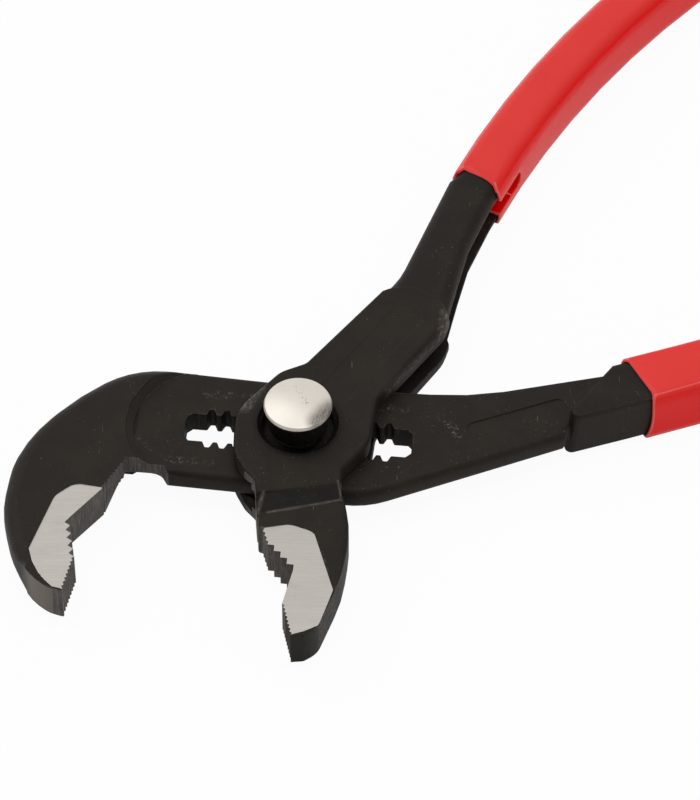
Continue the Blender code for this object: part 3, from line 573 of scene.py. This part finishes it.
def lengthen_tang(piece):
    """Draws the front corner at the tang's start out along the arm, further at the back than at the front."""
    turn = Matrix.Rotation(-SLOT_TILT, 3, "Z")
    at_front, at_back = TANG_DRAWN
    for vertex in piece.data.vertices:
        place = turn @ (vertex.co - pivot) * 1000.0
        if math.hypot(place.x - TANG_CORNER[0], place.y - TANG_CORNER[1]) < TANG_CORNER_REACH:
            drawn = at_front + (at_back - at_front) * share_of(place.z, TANG_HALF, -TANG_HALF)
            vertex.co -= heading(TANG_WAY) * drawn / 1000.0


slotted = joined_copy("slotted_arm", "slotted_forging")
stretch_panel(slotted)
lengthen_tang(slotted)
slotted.data.materials.append(blackened_steel("slotted_black", slotted_marks))
square_rim(slotted, SLOTTED_TIP, SLOTTED_TIP_REACH)
slotted_ground = ground_steel("slotted_ground", SLOTTED_GRINDING)
grind(slotted, slotted_ground, SLOTTED_LAND, SLOTTED_LAND_MIDDLE, at_hook_end)
smooth_curves(slotted)
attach(slotted, "slotted")
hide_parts("slotted_arm")

# Bolt and washer. Bright hardened steel, turned and milled: the bolt's lugs show at the open back of the joint,
# and the washer lies under the spring, shut in by the button.
HARDENED_DARK = (0.33, 0.31, 0.29, 1.0)
HARDENED_PALE = (0.52, 0.50, 0.47, 1.0)
OIL_STAIN = (0.17, 0.14, 0.115, 1.0)


def hardened_steel():
    made, steel, start = finish_of("hardened_steel")
    spot = start.node("TexCoord", output="Object")
    line = grain(drawn_out(spot, (1.0, 1.0, 12.0)), 0.0016, 3.0, 0.6)
    stain = rising(grain(spot, 0.0035, 3.0, 0.6), 0.45, 0.7)
    colour = tinted(stain * 0.4, tinted(line, HARDENED_DARK, HARDENED_PALE), OIL_STAIN)
    feed(steel, {"Base Color": colour, "Roughness": 0.28 + 0.25 * line, "Metallic": 1.0})
    return made


hardened = hardened_steel()
for node, name, body in (("joint_bolt", "keyed_bolt", "bolt"), ("spring_washer", "thrust_washer", "spring_seat")):
    piece = joined_copy(node, name)
    piece.data.materials.append(hardened)
    smooth_curves(piece)
    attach(piece, body)
    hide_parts(node)

# Spring. A coil of hardened wire stands on the washer round the bolt and lifts the button. It is wound from one
# ring of the wire's section, and shortens as the button is pressed.
SPRING_WIRE = 0.0007
WIRE_SIDES = 14
SPRING_TURNS = 4
SPRING_STEPS = 36               # on each turn

spring_low, spring_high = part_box("return_spring")
coil_radius = (spring_high.x - spring_low.x - SPRING_WIRE) / 2
coil_rise = (spring_high.z - spring_low.z - SPRING_WIRE) / SPRING_TURNS
bpy.ops.object.select_all(action="DESELECT")
bpy.ops.mesh.primitive_circle_add(vertices=WIRE_SIDES, radius=SPRING_WIRE / 2, location=(0.0, 0.0, 0.0))
spring = bpy.context.object
spring.name = "coil_spring"
bpy.ops.object.mode_set(mode="EDIT")
bpy.ops.transform.rotate(value=math.pi / 2, orient_axis="X", center_override=(0.0, 0.0, 0.0))
bpy.ops.transform.translate(value=(coil_radius, 0.0, 0.0))
bpy.ops.object.mode_set(mode="OBJECT")
coil = spring.modifiers.new("coil", "SCREW")
coil.steps = coil.render_steps = SPRING_STEPS
coil.screw_offset, coil.iterations = coil_rise, SPRING_TURNS
bpy.ops.object.modifier_apply(modifier=coil.name)
bpy.ops.object.mode_set(mode="EDIT")
bpy.ops.mesh.select_all(action="SELECT")
bpy.ops.mesh.remove_doubles(threshold=0.000002)
bpy.ops.mesh.fill_holes(sides=0)
bpy.ops.mesh.normals_make_consistent(inside=False)
bpy.ops.object.mode_set(mode="OBJECT")
spring.location = (pivot.x, pivot.y, spring_low.z + SPRING_WIRE / 2)
bpy.ops.object.transform_apply(location=True, rotation=True, scale=True)
spring.data.materials.append(hardened)
smooth_curves(spring)
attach(spring, "spring_seat")
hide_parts("return_spring")
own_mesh(spring)


# Button. A domed steel cap pressed on the bolt's spigot and nickel plated: a satin dome with a thin rolled rim,
# over a narrower skirt that is left black. The skirt and the thin wall under the rim are painted in deep shade,
# and a painted dark reflection lies at the lower right of the rim.
# the cap's height is taken so that the thin wall under its rim lies below it, in the painted shade
CAP_HEIGHT = 0.0018
PITTED_LINE = ((-0.1, 3.4), (1.6, -0.6))
# where a painted dark reflection lies on the rim
DARK_REFLECTION_RIM = ((3.6, -5.2), (6.9, -1.0))
NICKEL_DULL = (0.76, 0.705, 0.63, 1.0)
NICKEL_PALE = (0.92, 0.865, 0.79, 1.0)
NICKEL_PIT = (0.16, 0.14, 0.12, 1.0)
# painted dark reflection
NICKEL_DARK_REFLECTION = (0.13, 0.112, 0.09, 1.0)


def nickel_plate():
    """Brushed plate with a few pits on the dome, and a painted dark reflection at the lower right of the rim."""
    made, plate, start = finish_of("nickel_plate")
    spot = start.node("TexCoord", output="Object")
    x, y = from_pivot(spot)[:2]
    line = grain(drawn_out(spot, (1.0, 0.05, 1.0), (0.0, 0.0, 0.5)), 0.00016, 3.0, 0.65)
    haze = grain(spot, 0.0028, 3.0, 0.6)
    pit = rising(grain(spot, 0.00035, 1.0), 0.60, 0.68) * falling(off_line(x, y, PITTED_LINE), 0.0003, 0.0012)
    # Painted reflection: the lower right of the rim is darkened, as where it mirrors the dim front of the room.
    wear_and_painted_light = falling(off_line(x, y, DARK_REFLECTION_RIM), 0.0002, 0.0030) * (0.62 + 0.38 * rising(line, 0.30, 0.70))
    colour = tinted(line * 0.5 + haze * 0.5, NICKEL_DULL, NICKEL_PALE)
    colour = tinted(pit * 0.7, colour, NICKEL_PIT)
    feed(plate, {
        "Base Color": tinted(wear_and_painted_light, colour, NICKEL_DARK_REFLECTION),
        "Roughness": 0.30 + 0.10 * line + 0.08 * haze,
        "Normal": raised(line - pit, 0.25, 0.00003, eased_edges(start, 0.0003)),
        "Metallic": 0.55,
    })
    return made


def skirt_marks(spot, x, y, z):
    """Painted shade: near black all over, with hardly a worn place."""
    return {
        "wear_and_painted_light": 0.05 * rising(grain(spot, 0.0009, 3.0), 0.55, 0.75),
        "shaded": 1.0 - 0.15 * grain(spot, 0.002),
    }


cap_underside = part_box("push_button")[1].z - CAP_HEIGHT
button = joined_copy("push_button", "domed_button")
button.data.materials.append(nickel_plate())
button.data.materials.append(blackened_steel("skirt_black", skirt_marks))
# Painted shade: the faces below the cap, the skirt and the thin wall under the rim, take the black finish in deep
# shade.
for face in button.data.polygons:
    face.material_index = int(face.center.z < cap_underside)
smooth_curves(button)
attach(button, "bolt")
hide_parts("push_button")


# Grips. Both handles are dipped in red plastic, which dries to a glossy skin with a thin lip. Round the fork's
# two strips it also lines the slit between them, where a thread of it has dried across. The upper faces are
# painted paler as a sheen, and the lip and the thread paler still, as a painted highlight.
COAT_RED = [(0.84, 0.004, 0.003, 1.0), (0.90, 0.006, 0.005, 1.0)]
# painted sheen: paler, less red colours for the upper face
COAT_TOP_SHEEN = [(0.80, 0.036, 0.031, 1.0), (0.86, 0.048, 0.041, 1.0)]     # on its upper face
# painted highlight on the lip and the thread
COAT_LIP_HIGHLIGHT = [(0.88, 0.035, 0.03, 1.0), (0.93, 0.15, 0.13, 1.0)]
COAT_HALF = 6.9                 # half its height, in mm
LIP_ROUND = 0.00032
SLIT_HALF = 2.0                 # half the slit's width, in mm
SLIT_END = (42.36, 77.54)
SLIT_END_ROUND = 0.0016
FORK_WAY = math.radians(64.0)
FORK_MOUTH = (math.radians(61.5), 81.6)         # which way it faces, and how far it lies that way in mm
FORK_DRIP = 1.1                 # how far the mouth reaches on at the back, in mm
LOBE_END = 82.0                 # the front lobe of the fork's mouth lies before this, in mm along the strip
LOBE_REACH = 1.2
LOBE_SIDES = (1.0, 7.0)         # where it starts to reach further and where it does so fully, to the right
LOBE_LEVELS = (2.0, 5.5)        # and upwards
SLOTTED_MOUTH = (math.radians(28.1), 69.5)
SLOTTED_DRIP = 1.8
SLOTTED_BELLY = 0.35            # how far the mouth draws back halfway down, in mm
SLOTTED_LEVELS = (-0.0042, -0.0034, -0.0022, -0.0008, 0.0010, 0.0030)   # cuts that let its mouth bend
STRAND_ROUND = 0.00010
STRAND_ENDS = (Vector((0.04345, 0.0685, 0.0022)), Vector((0.04552, 0.07113, -0.0022)))


def dipped_plastic():
    made, coat, start = finish_of("dipped_plastic")
    spot = start.node("TexCoord", output="Object")
    height = from_pivot(spot)[2]
    cloud = grain(spot, 0.015, 3.0)
    ripple = grain(spot, 0.006)
    feed(coat, {
        # Painted sheen: above mid-height the red turns paler and less deep.
        "Base Color": tinted(rising(height, 0.0050, 0.0067), tinted(cloud, *COAT_RED), tinted(cloud, *COAT_TOP_SHEEN)),
        "Roughness": 0.16 + 0.08 * cloud,
        "Normal": start.node("Bump", sockets={"Strength": 0.12, "Distance": 0.0003, "Height": ripple}),
        "Specular IOR Level": 0.24,
    })
    return made


def thin_plastic():
    """The coat's lip and the thread, which are thin, and painted paler as a highlight."""
    made, coat, start = finish_of("thin_plastic")
    cloud = grain(start.node("TexCoord", output="Object"), 0.002)
    feed(coat, {"Base Color": tinted(cloud, *COAT_LIP_HIGHLIGHT), "Roughness": 0.2})
    return made


def select_edges(piece, chosen):
    """Goes into edit mode on a piece with only the edges selected for whose two ends chosen is true."""
    pick(piece)
    bpy.ops.object.mode_set(mode="EDIT")
    bpy.ops.mesh.select_mode(type="EDGE")
    bpy.ops.mesh.select_all(action="DESELECT")
    bpy.ops.object.mode_set(mode="OBJECT")
    for edge in piece.data.edges:
        edge.select = chosen(*[(piece.data.vertices[end].co - pivot) * 1000.0 for end in edge.vertices])
    bpy.ops.object.mode_set(mode="EDIT")


def at_slit_end(first, last):
    """True on the two level edges at the closed end of the slit."""
    level = abs(first.z - last.z) < 0.01 and abs(abs(first.z) - SLIT_HALF) < 0.01
    return level and ((first + last) / 2 - Vector((*SLIT_END, first.z))).length < 0.6


def tilt_mouth(grip, way, mouth, drip, belly):
    """Lets the coat's mouth reach further along the steel at the back, as it dripped off."""
    facing, distance = mouth
    for vertex in grip.data.vertices:
        place = (vertex.co - pivot) * 1000.0
        if place.dot(heading(facing)) < distance:
            low = share_of(place.z, COAT_HALF, -COAT_HALF)
            vertex.co -= heading(way) * ((drip * low ** 6 - belly * 4.0 * low * (1.0 - low)) / 1000.0)


def slant_mouth(grip):
    """Lets the front lobe of the fork's coat reach further along the right edge of its strip."""
    along, right = heading(FORK_WAY), heading(FORK_WAY - math.pi / 2)
    for vertex in grip.data.vertices:
        place = (vertex.co - pivot) * 1000.0
        if place.dot(along) < LOBE_END and place.z > SLIT_HALF:
            share = share_of(place.dot(right), *LOBE_SIDES) * share_of(place.z, *LOBE_LEVELS)
            vertex.co -= along * (LOBE_REACH * share / 1000.0)


def add_strand(grip):
    """Joins a thread of dried coat to the fork's grip, across the slit."""
    across = STRAND_ENDS[1] - STRAND_ENDS[0]
    bpy.ops.mesh.primitive_cylinder_add(vertices=8, radius=STRAND_ROUND, depth=across.length)
    strand = bpy.context.object
    strand.data.materials.append(pale)
    strand.rotation_euler = across.to_track_quat("Z", "Y").to_euler()
    strand.location = pivot + (STRAND_ENDS[0] + STRAND_ENDS[1]) / 2
    bpy.ops.object.transform_apply(location=True, rotation=True, scale=True)
    grip.select_set(True)
    bpy.context.view_layer.objects.active = grip
    bpy.ops.object.join()


red, pale = dipped_plastic(), thin_plastic()
for node, name, body in (("fork_grip", "fork_coat", "fork"), ("slotted_grip", "slotted_coat", "slotted")):
    grip = joined_copy(node, name)
    grip.data.materials.append(red)
    grip.data.materials.append(pale)
    if node == "fork_grip":
        select_edges(grip, at_slit_end)
        bpy.ops.mesh.bevel(offset=SLIT_END_ROUND, segments=5)
        bpy.ops.object.mode_set(mode="OBJECT")
        tilt_mouth(grip, FORK_WAY, FORK_MOUTH, FORK_DRIP, 0.0)
        slant_mouth(grip)
    else:
        for level in SLOTTED_LEVELS:
            select_edges(grip, lambda first, last: True)
            bpy.ops.mesh.bisect(plane_co=pivot + Vector((0.0, 0.0, level)), plane_no=(0.0, 0.0, 1.0))
            bpy.ops.object.mode_set(mode="OBJECT")
        tilt_mouth(grip, TANG_WAY, SLOTTED_MOUTH, SLOTTED_DRIP, SLOTTED_BELLY)
    select_edges(grip, lambda first, last: False)
    bpy.ops.mesh.edges_select_sharp(sharpness=math.radians(50.0))
    bpy.ops.mesh.bevel(offset=LIP_ROUND, segments=3, clamp_overlap=False, material=1)
    bpy.ops.object.mode_set(mode="OBJECT")
    if node == "fork_grip":
        add_strand(grip)
    smooth_curves(grip, crisp=False)
    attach(grip, body)
    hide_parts(node)
